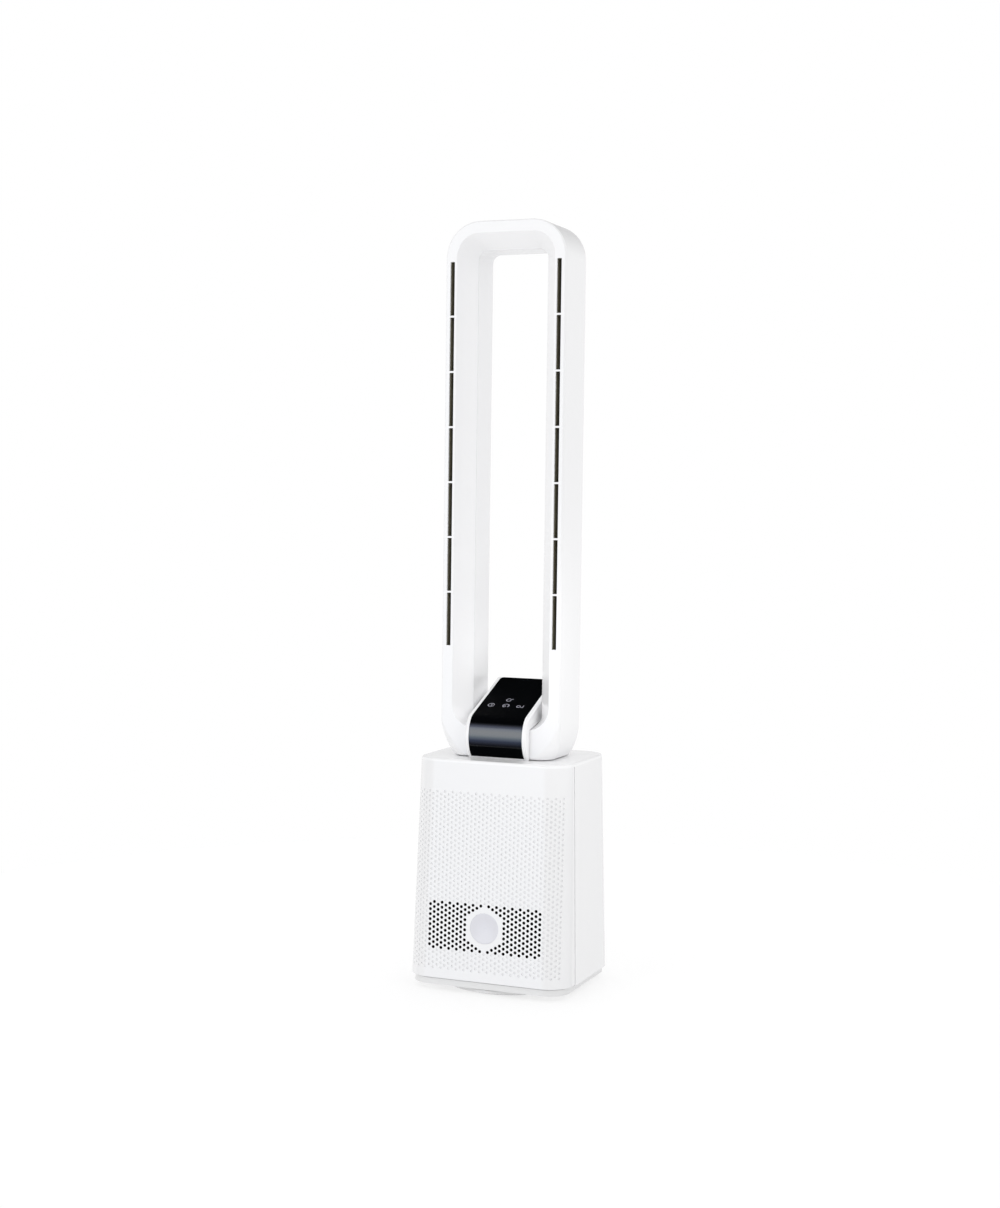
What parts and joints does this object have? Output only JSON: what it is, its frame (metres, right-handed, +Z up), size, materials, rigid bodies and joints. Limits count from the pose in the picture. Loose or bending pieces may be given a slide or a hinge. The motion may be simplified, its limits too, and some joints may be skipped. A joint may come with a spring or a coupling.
{
  "type": "bladeless tower fan",
  "caption": "Bladeless tower fan: a tapered base with a hidden impeller, rear intake cover and sloping touch console carries a tall open air loop and turns from side to side on a round foot.",
  "frame": {"origin": "on the floor under the middle of the base, on the axis that the tower turns about", "axes": "+X to the viewer's right facing the front, front faces -Y, +Z up"},
  "size_m": [0.204, 0.1721, 0.915],
  "materials": {
    "gloss_white": "glossy moulded",
    "satin_white": "satin moulded",
    "gloss_black": "high gloss",
    "lens_grey": "translucent gloss",
    "screen_dark": "matte",
    "duct_grey": "matte moulded",
    "nozzle_cream": "matte moulded",
    "nylon": "matte natural",
    "rotor_grey": "matte moulded",
    "pad_rubber": "matte",
    "seal_rubber": "matte",
    "ballast": "painted",
    "zinc_steel": "zinc plated",
    "motor_alu": "machined",
    "pcb": "solder mask",
    "filter": "pleated"
  },
  "bodies": {
    "foot": {"foot_disc": "satin_white", "foot_pad": "pad_rubber", "ballast_plate": "ballast", "ring_gear": "nylon", "spindle": "zinc_steel", "spindle_nut": "zinc_steel", "foot_screws": "zinc_steel", "lower_race": "zinc_steel"},
    "tower": {"upper_race": "zinc_steel", "bottom_tray": "satin_white", "tray_bush": "nylon", "oscillation_motor": "zinc_steel", "tray_screws": "zinc_steel", "main_board": "pcb", "fan_carrier": "duct_grey", "fan_mounts": "seal_rubber", "shroud": "duct_grey", "guide_vanes": "duct_grey", "fan_motor": "motor_alu", "motor_bearings": "zinc_steel", "neck_duct": "duct_grey", "neck_seal": "seal_rubber", "top_deck": "gloss_white", "front_cover": "gloss_white", "display_lens": "lens_grey", "window_screen": "screen_dark", "display_board": "pcb", "display_screws": "zinc_steel", "side_shell": "gloss_white", "cable_gland": "pad_rubber", "loop_front_shell": "gloss_white", "loop_rear_shell": "gloss_white", "left_nozzle": "nozzle_cream", "right_nozzle": "nozzle_cream", "flow_splitter": "duct_grey", "loop_screws": "zinc_steel", "console_housing": "gloss_white", "touch_panel": "gloss_black", "touch_board": "pcb", "console_screws": "zinc_steel"},
    "roller_ring": {"rollers": "zinc_steel", "roller_cage": "nylon"},
    "pinion": {"oscillation_pinion": "nylon"},
    "impeller": {"impeller": "rotor_grey", "impeller_nut": "zinc_steel", "motor_shaft": "zinc_steel"},
    "rear_cover": {"rear_cover": "gloss_white", "filter_frame": "satin_white", "filter_media": "filter"}
  },
  "joints": [
    {"name": "oscillation", "type": "hinge", "parent": "foot", "child": "tower", "pos_m": [0, 0, 0.01], "axis": [0, 0, 1], "range_deg": [-40, 40]},
    {"name": "roller_ring_turn", "type": "hinge", "parent": "foot", "child": "roller_ring", "pos_m": [0, 0, 0.009], "axis": [0, 0, 1], "range_deg": [-20, 20]},
    {"name": "pinion_spin", "type": "hinge", "parent": "tower", "child": "pinion", "pos_m": [0.045, 0, 0.009], "axis": [0, 0, 1], "range_deg": [-200, 200]},
    {"name": "impeller_spin", "type": "hinge", "parent": "tower", "child": "impeller", "pos_m": [0, -0.009, 0.15], "axis": [0, 0, 1], "continuous": true},
    {"name": "rear_cover_lift_off", "type": "slide", "parent": "tower", "child": "rear_cover", "axis": [0, 1, 0], "range_m": [0, 0.06]}
  ],
  "couplings": [
    {"joint": "roller_ring_turn", "follows": "oscillation", "ratio": 0.5},
    {"joint": "pinion_spin", "follows": "oscillation", "ratio": 5}
  ]
}
